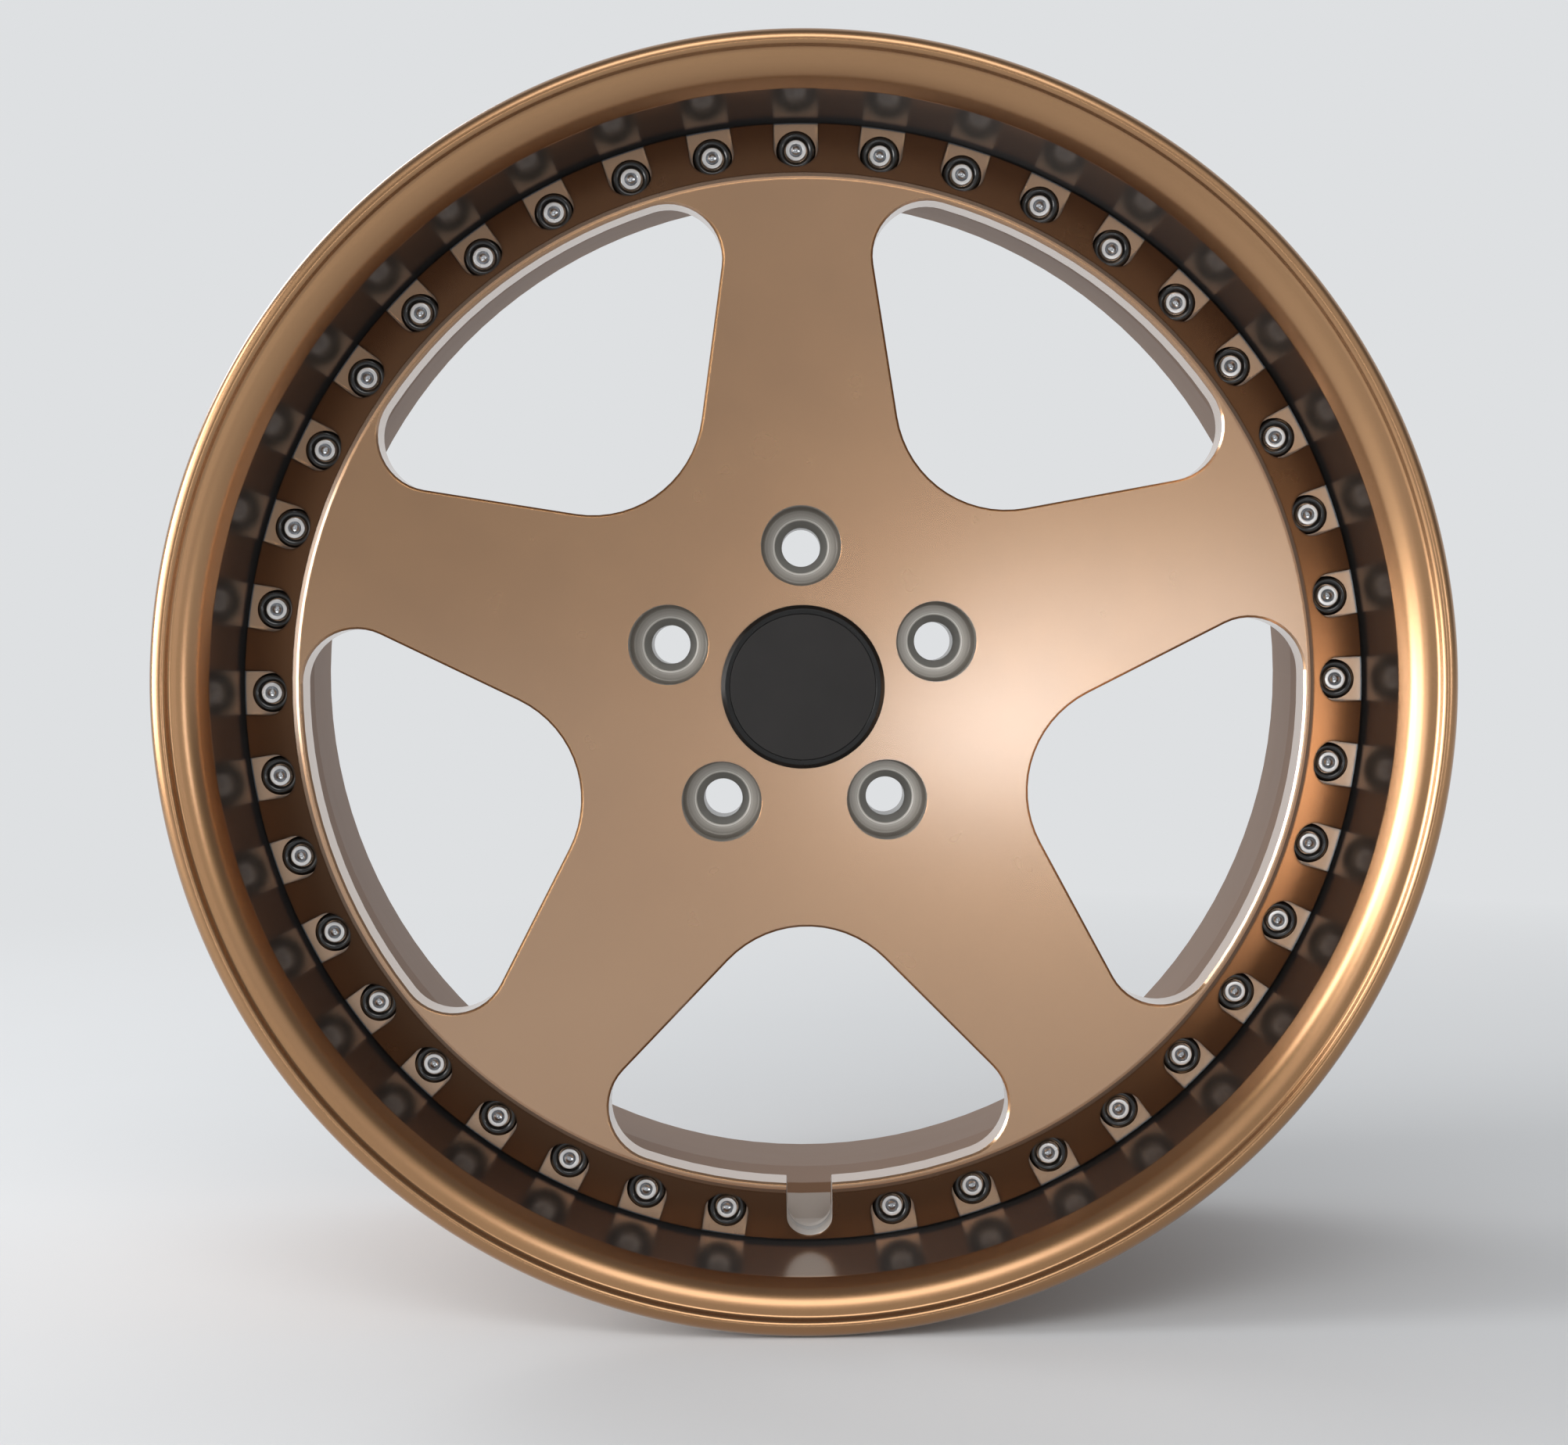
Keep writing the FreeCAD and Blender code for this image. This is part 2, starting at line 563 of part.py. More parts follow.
def make_seal():
    """The ring of sealant in the groove between the two rim halves."""
    body = make_body("seam_seal")
    slack = "dim.seal_gap * sqrt(2)"
    turn_section(body, "seal_turned", [
        (f"place.seam_radius - dim.seam_groove + {slack}", "place.seam"),
        ("place.seam_radius", f"place.seam + dim.seam_groove - {slack}"),
        ("place.seam_radius", f"place.seam - dim.seam_groove + {slack}"),
    ])
    return body


def make_bolts():
    """The heads of the assembly bolts with their cups, one seated in every pocket."""
    body = make_body("assembly_bolts")
    body.AllowCompound = True
    sketch = make_sketch(body, "head_outline", "XZ_Plane", "place.bolt_seat", FIRST_BOLT)
    ring = sketch.addGeometry(Part.Circle(Vector(0, number("place.bolt_circle"), 0), Vector(0, 0, 1), 1))
    pin(sketch, ring, 3, "0", "place.bolt_circle")
    bind(sketch, Sketcher.Constraint("Radius", ring, 1), "dim.cup_radius")
    head = body.newObject("PartDesign::Pad", "bolt_head")
    head.Profile = sketch
    head.setExpression("Length", "dim.head_height")
    doc.recompute()
    repeat(body, "bolt_heads", head, sketch, BOLTS, "place.bolt_pitch")
    return body


def make_nuts():
    """The nuts behind the barrel's bolting flange."""
    body = make_body("assembly_nuts")
    body.AllowCompound = True
    sketch = make_sketch(body, "nut_outline", "XZ_Plane", "place.nut_seat", FIRST_BOLT)
    side = "dim.nut_flats / sqrt(3)"
    half = "dim.nut_flats / 2"
    draw_outline(sketch, [
        (half, f"place.bolt_circle - {side} / 2"),
        (half, f"place.bolt_circle + {side} / 2"),
        ("0", f"place.bolt_circle + {side}"),
        (f"-{half}", f"place.bolt_circle + {side} / 2"),
        (f"-{half}", f"place.bolt_circle - {side} / 2"),
        ("0", f"place.bolt_circle - {side}"),
    ])
    nut = body.newObject("PartDesign::Pad", "nut")
    nut.Profile = sketch
    nut.Reversed = True
    nut.setExpression("Length", "dim.nut_height")
    doc.recompute()
    repeat(body, "nuts", nut, sketch, BOLTS, "place.bolt_pitch")
    return body


def make_cap():
    """The centre cap: a rim on the face, and legs that snap behind the ledge of their bore."""
    body = make_body("cap_body")
    recess = "place.cap_front + dim.insert_depth"
    skirt = "dim.cap_bore - dim.cap_fit"
    turn_section(body, "cap_turned", [
        ("0", recess),
        ("dim.insert_radius + dim.cap_fit", recess),
        ("dim.insert_radius + dim.cap_fit", "place.cap_front"),
        ("dim.cap_radius - dim.cap_bevel", "place.cap_front"),
        ("dim.cap_radius", "place.cap_front + dim.cap_bevel"),
        ("dim.cap_radius", "place.face"),
        (skirt, "place.face"),
        (skirt, "place.hook_start"),
        (f"{skirt} + dim.cap_hook", "place.hook_start"),
        (skirt, "place.hook_end"),
        (f"{skirt} - dim.cap_skirt", "place.hook_end"),
        (f"{skirt} - dim.cap_skirt", f"{recess} + dim.cap_web"),
        ("0", f"{recess} + dim.cap_web"),
    ])
    sketch = make_sketch(body, "leg_slot_outline", "XZ_Plane", "place.face + dim.cap_skirt")
    half, reach = "dim.leg_slot / 2", "dim.cap_radius + dim.leg_slot"
    draw_outline(sketch, [
        (half, reach),
        (f"-{half}", reach),
        (f"-{half}", f"-({reach})"),
        (half, f"-({reach})"),
    ])
    slot = cut(body, "leg_slot", sketch, "car")
    repeat(body, "leg_slots", slot, sketch, "dim.leg_pairs", "180 / dim.leg_pairs")
    return body


def make_insert():
    """The plain disc in the cap."""
    body = make_body("cap_insert")
    turn_section(body, "insert_turned", [
        ("0", "place.cap_front"),
        ("dim.insert_radius", "place.cap_front"),
        ("dim.insert_radius", "place.cap_front + dim.insert_depth"),
        ("0", "place.cap_front + dim.insert_depth"),
    ])
    return body


def write_parts(bodies):
    """Check every object, then write each sub-part to its own file."""
    doc.recompute()
    for item in doc.Objects:
        if "Invalid" in item.State or "Error" in item.State:
            raise RuntimeError(f"{item.Name} did not build")
    for body in bodies:
        if body.Shape.isNull() or not body.Shape.isValid():
            raise RuntimeError(f"{body.Label} is not a valid shape")
    os.makedirs("parts", exist_ok=True)
    for body in bodies:
        body.Shape.exportStep(f"parts/{body.Label}.step")
        print(body.Label, len(body.Shape.Solids), round(body.Shape.Volume))


write_parts([
    make_disc(),
    make_lip(),
    make_barrel(),
    make_seal(),
    make_bolts(),
    make_nuts(),
    make_cap(),
    make_insert(),
])
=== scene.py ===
"""Looks of the forged wheel: finishes, a rounded lip, detailed bolts and nuts, light, floor and camera.

Places are in metres in the CAD frame: +Y along the axle towards the car, face towards -Y, +Z up.
Profiles of turned pieces are in millimetres.
"""
import math

import bmesh
import bpy
from mathutils import Matrix, Vector


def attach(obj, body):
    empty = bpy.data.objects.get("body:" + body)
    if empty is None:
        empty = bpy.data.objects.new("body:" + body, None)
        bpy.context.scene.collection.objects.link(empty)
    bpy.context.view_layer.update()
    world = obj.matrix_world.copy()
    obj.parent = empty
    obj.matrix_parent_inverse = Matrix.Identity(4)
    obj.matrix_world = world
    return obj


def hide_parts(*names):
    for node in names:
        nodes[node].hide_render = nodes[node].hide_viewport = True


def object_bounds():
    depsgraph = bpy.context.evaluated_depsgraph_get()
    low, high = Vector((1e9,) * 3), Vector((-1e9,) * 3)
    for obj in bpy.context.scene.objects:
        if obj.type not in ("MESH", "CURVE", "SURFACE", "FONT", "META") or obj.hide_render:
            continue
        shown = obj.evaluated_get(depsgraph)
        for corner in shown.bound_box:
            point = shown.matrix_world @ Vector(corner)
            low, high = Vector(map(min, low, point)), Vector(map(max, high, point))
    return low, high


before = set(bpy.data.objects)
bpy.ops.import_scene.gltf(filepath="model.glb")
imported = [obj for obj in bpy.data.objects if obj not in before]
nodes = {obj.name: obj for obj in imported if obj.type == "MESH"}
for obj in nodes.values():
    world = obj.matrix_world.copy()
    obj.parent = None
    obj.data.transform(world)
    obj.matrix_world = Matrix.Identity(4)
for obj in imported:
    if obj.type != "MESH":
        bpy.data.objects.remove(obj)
cad_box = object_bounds()

MM = 0.001
TINY = 1e-6

# Places along the axle
FRONT = cad_box[0].y
FACE = FRONT + 30.0 * MM
BOLT_SEAT = FRONT + 51.0 * MM
NUT_SEAT = FRONT + 69.0 * MM
FLANGE_BACK = FRONT + 70.35 * MM
MOUNTING = -58.0 * MM
MOUTH_END = -40.0 * MM

# Radii, widths and counts
SPOKES = 5
LUG_SEAT = 11.2 * MM
LUG_SOCKET = 16.3 * MM
LUG_CIRCLE = 57.15 * MM
SLOT_TOP = 200.0 * MM
SLOPE_START = 207.5 * MM
BOLT_CIRCLE = 219.1 * MM
BOLT_PLACES = 40
MOUTH = (218.3 * MM, 229.8 * MM)
SEAM_START = 230.3 * MM
WALL_TOP = 238.0 * MM
VALVE_SLOT = 18.6 * MM

# Blobs of noise to the metre
CLOUDS = 9.0
SMEARS = 38.0
PATCHES = 60.0
ORANGE_PEEL = 520.0
GRAIN = 1400.0
TURNING_MARKS = 1500.0
FLAKES = 2600.0

PEEL_DEPTH = 0.02 * MM


# Node helpers

def new_material(name):
    """A material with nodes; gives it with its tree and its main shader."""
    material = bpy.data.materials.new(name)
    material.use_nodes = True
    return material, material.node_tree, material.node_tree.nodes["Principled BSDF"]


def put(tree, socket, value):
    """Links a socket to an input, or sets a plain value on it."""
    if isinstance(value, bpy.types.NodeSocket):
        tree.links.new(value, socket)
    else:
        socket.default_value = value


def node(tree, kind, inputs=None, **settings):
    """Adds a node, with its settings and with values or links on its inputs."""
    made = tree.nodes.new(kind)
    for key, value in settings.items():
        setattr(made, key, value)
    for key, value in (inputs or {}).items():
        put(tree, made.inputs[key], value)
    return made


def calc(tree, operation, *values):
    """The result of one sum on numbers or sockets."""
    return node(tree, "ShaderNodeMath", dict(enumerate(values)), operation=operation).outputs[0]


def above(tree, value, limit):
    """A mask that is 1 where a value is over a limit."""
    return calc(tree, "GREATER_THAN", value, limit)


def below(tree, value, limit):
    """A mask that is 1 where a value is under a limit."""
    return calc(tree, "LESS_THAN", value, limit)


def all_of(tree, mask, *others):
    """A mask that is 1 where every one of the masks is."""
    for other in others:
        mask = calc(tree, "MULTIPLY", mask, other)
    return mask


def between(tree, value, low, high, to_low, to_high):
    """A value taken from one range to another, held at its ends."""
    ends = {"From Min": low, "From Max": high, "To Min": to_low, "To Max": to_high}
    return node(tree, "ShaderNodeMapRange", {"Value": value, **ends}).outputs["Result"]


def ramp(tree, value, low, high):
    """A value that rises from 0 to 1 over a range."""
    return between(tree, value, low, high, 0.0, 1.0)


def choose(tree, mask, at_none, at_full):
    """One value where a mask is 0 and another where it is 1."""
    return between(tree, mask, 0.0, 1.0, at_none, at_full)


def noise(tree, place, scale, detail=3.0):
    """Cloudy noise from 0 to 1 with a given number of blobs to the metre."""
    inputs = {"Vector": place, "Scale": scale, "Detail": detail, "Roughness": 0.55}
    return node(tree, "ShaderNodeTexNoise", inputs).outputs["Fac"]


def spread(tree, cloud):
    """Noise with its middle range drawn out to 0 to 1."""
    return ramp(tree, cloud, 0.3, 0.7)


def mix_colour(tree, factor, first, second):
    """One colour going over into another; the node's colour sockets are found by number, as names repeat."""
    made = node(tree, "ShaderNodeMix", {0: factor, 6: first, 7: second}, data_type="RGBA")
    return made.outputs[2]


def bump(tree, height, distance, strength, normal=None):
    """A normal bent by a height."""
    inputs = {"Height": height, "Distance": distance, "Strength": strength}
    if normal is not None:
        inputs["Normal"] = normal
    return node(tree, "ShaderNodeBump", inputs).outputs["Normal"]


def soft_edge(tree, radius):
    """A normal that rounds the edges of the solid."""
    return node(tree, "ShaderNodeBevel", {"Radius": radius}, samples=4).outputs["Normal"]


def place_of(tree):
    """The point in the CAD frame."""
    return node(tree, "ShaderNodeTexCoord").outputs["Object"]


def parts_of(tree, vector):
    """The three parts of a vector."""
    outputs = node(tree, "ShaderNodeSeparateXYZ", {"Vector": vector}).outputs
    return outputs["X"], outputs["Y"], outputs["Z"]


def flat_vector(tree, first, second):
    """A vector of two parts."""
    return node(tree, "ShaderNodeCombineXYZ", {"X": first, "Y": second}).outputs[0]


def length(tree, vector):
    """The length of a vector."""
    return node(tree, "ShaderNodeVectorMath", {0: vector}, operation="LENGTH").outputs["Value"]


def set_on(shader, **values):
    """Plain values on the shader's own sockets."""
    for key, value in values.items():
        shader.inputs[key.replace("_", " ")].default_value = value


def colour(red, green, blue):
    """A colour from its screen values of 0 to 255."""
    def linear(value):
        value /= 255
        return value / 12.92 if value <= 0.04045 else ((value + 0.055) / 1.055) ** 2.4
    return linear(red), linear(green), linear(blue), 1.0


# Finishes

# The pale colour of bare cut metal; in the valve slot's walls it is partly painted light, and on the
# barrel's inside next to the slot it is painted light.
BARE_METAL_AND_LIGHT = colour(190, 183, 176)


def radius_of(tree, place):
    """Distance from the wheel's axis, and the place along it."""
    across, along, up = parts_of(tree, place)
    return length(tree, flat_vector(tree, across, up)), along


def from_lug_axis(tree, place):
    """Distance from the nearest lug hole's axis, and the place along it."""
    across, along, up = parts_of(tree, place)
    radius = length(tree, flat_vector(tree, across, up))
    step = 2 * math.pi / SPOKES
    turn = calc(tree, "SUBTRACT", calc(tree, "ARCTAN2", up, across), math.pi / 2)
    sector = calc(tree, "MULTIPLY", calc(tree, "ROUND", calc(tree, "DIVIDE", turn, step)), step)
    aside = calc(tree, "SUBTRACT", turn, sector)
    outward = calc(tree, "MULTIPLY", radius, calc(tree, "COSINE", aside))
    sideways = calc(tree, "MULTIPLY", radius, calc(tree, "SINE", aside))
    offset = flat_vector(tree, calc(tree, "SUBTRACT", outward, LUG_CIRCLE), sideways)
    return length(tree, offset), along


def bronze(name, deep, pale, rough, edge, **values):
    """Bronze coat on forged aluminium: fine flake, faint clouds and a little orange peel.

    The rounding of edges is a radius, a function that gives one, or None for a piece with its own rounding.
    """
    material, tree, shader = new_material(name)
    place = place_of(tree)
    cloud = calc(tree, "MULTIPLY", noise(tree, place, CLOUDS), 0.6)
    flake = calc(tree, "MULTIPLY", noise(tree, place, FLAKES, detail=1.0), 0.4)
    paint = mix_colour(tree, spread(tree, calc(tree, "ADD", cloud, flake)), deep, pale)
    put(tree, shader.inputs["Base Color"], paint)
    smear = noise(tree, place, SMEARS)
    put(tree, shader.inputs["Roughness"], between(tree, smear, 0.3, 0.7, rough - 0.01, rough + 0.01))
    peel = noise(tree, place, ORANGE_PEEL, detail=2.0)
    rounding = edge(tree, place) if callable(edge) else edge
    soft = soft_edge(tree, rounding) if edge else None
    put(tree, shader.inputs["Normal"], bump(tree, peel, PEEL_DEPTH, 0.1, soft))
    set_on(shader, **values)
    return material, tree, shader, paint


def disc_edges(tree, place):
    """Rounding of the disc's edges, larger in the bolt pockets than round the windows."""
    radius, depth = radius_of(tree, place)
    band = all_of(tree, above(tree, radius, SLOPE_START), above(tree, depth, FACE + 1.5 * MM))
    return choose(tree, band, 0.7 * MM, 1.6 * MM)


def bare_lug_holes(tree, place):
    """Turned metal in the lug holes: its mask and colour, with painted shade on the seat and towards the
    socket's wall, and a painted highlight along the seat's edge.
    """
    away, depth = from_lug_axis(tree, place)
    inside = all_of(
        tree, below(tree, away, LUG_SOCKET + 0.5 * MM),
        above(tree, depth, FACE + 0.15 * MM), below(tree, depth, MOUNTING - 0.2 * MM))
    marks = spread(tree, noise(tree, flat_vector(tree, away, depth), TURNING_MARKS, detail=2.0))
    # Painted shade: a darker copy of the turned metal towards the socket's wall and a lit copy near the
    # seat, joined by a ramp.
    outer = mix_colour(tree, marks, colour(112, 106, 98), colour(146, 140, 131))
    inner = mix_colour(tree, marks, colour(180, 174, 165), colour(206, 200, 191))
    silver = mix_colour(tree, ramp(tree, away, LUG_SEAT, LUG_SOCKET - 0.8 * MM), inner, outer)
    # Painted shade: the seat is painted darker than the floor round it.
    seat = ramp(tree, away, LUG_SEAT - 0.5 * MM, LUG_SEAT - 0.2 * MM)
    silver = mix_colour(tree, seat, colour(160, 158, 153), silver)
    # Painted highlight: a bright line along the seat's edge.
    from_highlight_line = calc(tree, "ABSOLUTE", calc(tree, "SUBTRACT", away, LUG_SEAT))
    return inside, mix_colour(tree, below(tree, from_highlight_line, 0.4 * MM), silver, colour(232, 228, 220))


def slot_walls(tree, place):
    """The mask of the cut walls of the valve slot, up to the back of the bolted flanges: bare metal whose
    pale colour is partly painted light falling in from behind.
    """
    across, along, up = parts_of(tree, place)
    under_centre = calc(tree, "MINIMUM", calc(tree, "ADD", up, BOLT_CIRCLE), 0.0)
    away = length(tree, flat_vector(tree, across, under_centre))
    return all_of(
        tree, below(tree, away, VALVE_SLOT / 2 + 0.08 * MM), below(tree, up, -SLOT_TOP),
        above(tree, along, FACE + 1.0 * MM), below(tree, along, FLANGE_BACK))


def bare_and_lit_parts(tree, shader, paint, mask, silver, metallic, coat):
    """Lays the given bare-metal colour over the paint where the mask says so; in the lug holes it holds
    painted shade and highlight, and next to the valve slot it is painted light.
    """
    shade = mix_colour(tree, mask, paint, silver)
    put(tree, shader.inputs["Base Color"], shade)
    put(tree, shader.inputs["Metallic"], choose(tree, mask, metallic, 0.2))
    put(tree, shader.inputs["Coat Weight"], choose(tree, mask, coat, 0.0))
    return shade


def bronze_disc():
    """The disc's satin coat, thinner and with painted shade on the sloping band, bare in holes and slot with
    painted light and shade there, and a black seam.
    """
    material, tree, shader, paint = bronze(
        "bronze_disc", colour(160, 119, 79), colour(168, 127, 86), 0.265, disc_edges,
        Coat_Roughness=0.16, Coat_IOR=2.0, Sheen_Weight=0.05, Sheen_Roughness=0.4)
    place = place_of(tree)
    radius, depth = radius_of(tree, place)
    # Painted shade: the sloping band down to the lip lies deep and is painted darker, darkest just under the
    # face's edge, with a thinner coat.
    band = all_of(
        tree, above(tree, radius, SLOPE_START - 1.8 * MM),
        above(tree, depth, FACE + 0.15 * MM), below(tree, depth, BOLT_SEAT - 0.4 * MM))
    bevel = below(tree, depth, FACE + 1.4 * MM)
    shaded_band = mix_colour(tree, bevel, colour(130, 108, 89), colour(100, 80, 63))
    paint = mix_colour(tree, band, paint, shaded_band)
    coat = choose(tree, band, 1.0, 0.3)
    holes, silver = bare_lug_holes(tree, place)
    # Bare metal in the slot's walls; its pale colour is partly painted light.
    slot = slot_walls(tree, place)
    silver = mix_colour(tree, slot, silver, BARE_METAL_AND_LIGHT)
    shade = bare_and_lit_parts(tree, shader, paint, calc(tree, "MAXIMUM", holes, slot), silver, 0.92, coat)
    seam = ramp(tree, radius, SEAM_START, SEAM_START + 0.3 * MM)
    put(tree, shader.inputs["Base Color"], mix_colour(tree, seam, shade, colour(8, 7, 6)))
    return material


def bronze_lip():
    """The lip's coat, with painted shade on the inner wall when seen at a low angle, and bare metal in the
    slot whose pale colour is partly painted light.
    """
    material, tree, shader, paint = bronze(
        "bronze_lip", colour(159, 119, 81), colour(165, 125, 86), 0.26, None,
        Coat_Roughness=0.2, Sheen_Weight=0.1, Sheen_Roughness=0.4)
    place = place_of(tree)
    radius, depth = radius_of(tree, place)
    # Painted shade: the inner wall has the same coat, but its reflections at a low angle are tinted dark
    # like the deep recess it mirrors.
    under_crest = ramp(tree, depth, FRONT + 13.0 * MM, FRONT + 16.0 * MM)
    wall = all_of(tree, under_crest, below(tree, radius, WALL_TOP))
    shaded_wall_tint = mix_colour(tree, wall, (1.0, 1.0, 1.0, 1.0), (0.06, 0.36, 0.6, 1.0))
    put(tree, shader.inputs["Specular Tint"], shaded_wall_tint)
    bare_and_lit_parts(tree, shader, paint, slot_walls(tree, place), BARE_METAL_AND_LIGHT, 1.0, 0.7)
    return material


def bronze_barrel():
    """The barrel's duller coat, bare metal in the slot whose pale colour is partly painted light, and
    painted light on the barrel's inside next to the slot.
    """
    material, tree, shader, paint = bronze(
        "bronze_barrel", colour(134, 104, 81), colour(142, 112, 89), 0.52, 1.2 * MM, Specular_IOR_Level=0.25)
    place = place_of(tree)
    across, along, up = parts_of(tree, place)
    # Painted light: the barrel's inside next to the valve slot takes the pale bare-metal colour, standing
    # for light that falls there.
    lit_mouth = all_of(
        tree, below(tree, calc(tree, "ABSOLUTE", across), VALVE_SLOT / 2),
        below(tree, up, -MOUTH[0]), above(tree, up, -MOUTH[1]), below(tree, along, MOUTH_END))
    bare = calc(tree, "MAXIMUM", slot_walls(tree, place), lit_mouth)
    bare_and_lit_parts(tree, shader, paint, bare, BARE_METAL_AND_LIGHT, 0.12, 0.0)
    return material


def plain_finish(name, deep, pale, rough, edge=0.4 * MM, **values):
    """A finish of two near tones with a fine grain."""
    material, tree, shader = new_material(name)
    place = place_of(tree)
    cloud = spread(tree, noise(tree, place, PATCHES))
    put(tree, shader.inputs["Base Color"], mix_colour(tree, cloud, deep, pale))
    put(tree, shader.inputs["Roughness"], choose(tree, cloud, rough - 0.04, rough + 0.04))
    grain = noise(tree, place, GRAIN, detail=2.0)
    put(tree, shader.inputs["Normal"], bump(tree, grain, PEEL_DEPTH, 0.4, soft_edge(tree, edge)))
    set_on(shader, **values)
    return material


# Turned pieces

def arc(centre, radius, start, end, count):
    """Points of a profile along an arc, angles in degrees from the radial way towards the front."""
    points = []
    for index in range(count + 1):
        angle = math.radians(start + (end - start) * index / count)
        points.append((centre[0] + radius * math.cos(angle), centre[1] + radius * math.sin(angle)))
    return points


def lathe(mesh, profile, steps, matrix):
    """Turns a profile of (radius, height) in mm about a local axis that points to the front."""
    rows = []
    for radius, height in profile:
        if radius < TINY:
            rows.append([mesh.verts.new(matrix @ Vector((0, -height * MM, 0)))])
            continue
        row = []
        for index in range(steps):
            angle = 2 * math.pi * index / steps
            point = Vector((radius * math.cos(angle), -height, radius * math.sin(angle))) * MM
            row.append(mesh.verts.new(matrix @ point))
        rows.append(row)
    for near, far in zip(rows, rows[1:]):
        for index in range(steps):
            after = (index + 1) % steps
            corners = [near[index % len(near)], near[after % len(near)]]
            corners += [far[after % len(far)], far[index % len(far)]]
            corners = list(dict.fromkeys(corners))
            if len(corners) > 2:
                mesh.faces.new(corners)


def finish_piece(name, mesh, material, replaced):
    """Turns a mesh into a piece of the wheel that stands for a CAD node."""
    bmesh.ops.recalc_face_normals(mesh, faces=mesh.faces)
    data = bpy.data.meshes.new(name)
    mesh.to_mesh(data)
    mesh.free()
    data.polygons.foreach_set("use_smooth", [True] * len(data.polygons))
    data.set_sharp_from_angle(angle=math.radians(40))
    data.materials.append(material)
    piece = bpy.data.objects.new(name, data)
    bpy.context.scene.collection.objects.link(piece)
    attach(piece, "root")
    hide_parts(replaced)
    return piece


# Bolts and nuts

BOLT_STEPS = 32
BOLT_TURN = 2.4
CUP = [(4.75, 0.7), (4.95, 0.75)] + arc((6.45, 2.1), 1.7, 225, 0, 18) + [(8.15, 0.0), (4.75, 0.0)]
HEAD = [(4.3, 0.0), (4.3, 3.0)] + arc((3.9, 3.1), 0.4, 0, 90, 5) + [(3.0, 3.5)]
HEAD += arc((2.85, 3.35), 0.15, 90, 180, 3) + [(2.6, 2.3)]
DISH = [(2.65, 2.35)] + arc((0.0, 4.0), 3.1, -32, -90, 8)


def bolt_spots(seat):
    """A matrix for each bolt, with its own turn; the lowest place is the valve slot's."""
    spots = []
    for index in range(BOLT_PLACES):
        angle = math.pi / 2 + 2 * math.pi * index / BOLT_PLACES
        if index == BOLT_PLACES // 2:
            continue
        centre = Vector((BOLT_CIRCLE * math.cos(angle), seat, BOLT_CIRCLE * math.sin(angle)))
        spots.append(Matrix.Translation(centre) @ Matrix.Rotation(index * BOLT_TURN, 4, "Y"))
    return spots


def make_bolts(cup_material, head_material, dish_material):
    """Black cup washers with bright bolt heads in them, each with a dished middle painted darker as shade.
    """
    cups, heads, dishes = bmesh.new(), bmesh.new(), bmesh.new()
    for spot in bolt_spots(BOLT_SEAT):
        lathe(cups, CUP + CUP[:1], BOLT_STEPS, spot)
        lathe(heads, HEAD, BOLT_STEPS, spot)
        lathe(dishes, DISH, BOLT_STEPS, spot)
    finish_piece("cup_washers", cups, cup_material, "assembly_bolts")
    finish_piece("bolt_heads", heads, head_material, "assembly_bolts")
    finish_piece("bolt_dishes", dishes, dish_material, "assembly_bolts")


NUT_STEPS = 36
NUT_FLAT = 5.5
NUT_CROWN = 0.97 * NUT_FLAT
NUT_HEIGHT = 6.5
NUT_BORE = 2.95
NUT_BEVEL = math.radians(30)
STUD_STEPS = 18
STUD = [(2.9, 0.0), (2.9, -6.6), (2.5, -7.0), (0.0, -7.0)]


def hexagon(mesh, matrix):
    """A nut with bevelled corners, standing towards the car; a ring with no radius has the nut's outline."""
    profile = [
        (NUT_BORE, 0.0), (None, 0.0), (None, NUT_HEIGHT), (NUT_CROWN, NUT_HEIGHT),
        (NUT_BORE + 0.5, NUT_HEIGHT), (NUT_BORE, 0.92 * NUT_HEIGHT),
    ]
    rows = []
    for radius, level in profile:
        row = []
        for index in range(NUT_STEPS):
            angle = 2 * math.pi * index / NUT_STEPS
            reach = NUT_FLAT / math.cos((angle + math.pi / 6) % (math.pi / 3) - math.pi / 6)
            lift = level
            if radius is None and level:
                lift -= (reach - NUT_CROWN) * math.tan(NUT_BEVEL)
            spread_out = reach if radius is None else radius
            point = Vector((spread_out * math.cos(angle), lift, spread_out * math.sin(angle))) * MM
            row.append(mesh.verts.new(matrix @ point))
        rows.append(row)
    for near, far in zip(rows, rows[1:]):
        for index in range(NUT_STEPS):
            after = (index + 1) % NUT_STEPS
            mesh.faces.new((near[index], near[after], far[after], far[index]))


def make_nuts(material):
    """Nuts on the back of the barrel's flange, each with the end of its bolt."""
    mesh = bmesh.new()
    for spot in bolt_spots(NUT_SEAT):
        hexagon(mesh, spot)
        lathe(mesh, STUD, STUD_STEPS, spot)
    finish_piece("flange_nuts", mesh, material, "assembly_nuts")


# Lip: corners of its section as radius, depth behind the front and rounding

LIP_STEPS = 720
LIP = [
    (258.6, 0.0, 4.6), (252.6, 0.0, 2.4), (250.8, 2.8, 2.4), (243.2, 5.1, 15.0), (237.3, 13.9, 1.5),
    (231.2, 58.0, 0.0), (208.9, 58.0, 0.0), (208.9, 63.5, 0.0),
    (234.0, 63.5, 0.0), (237.0, 60.5, 0.0), (239.375, 34.7, 0.0), (241.3, 17.7, 4.0), (246.3, 12.7, 4.0),
    (255.1, 12.7, 1.5), (258.6, 9.2, 1.5),
]


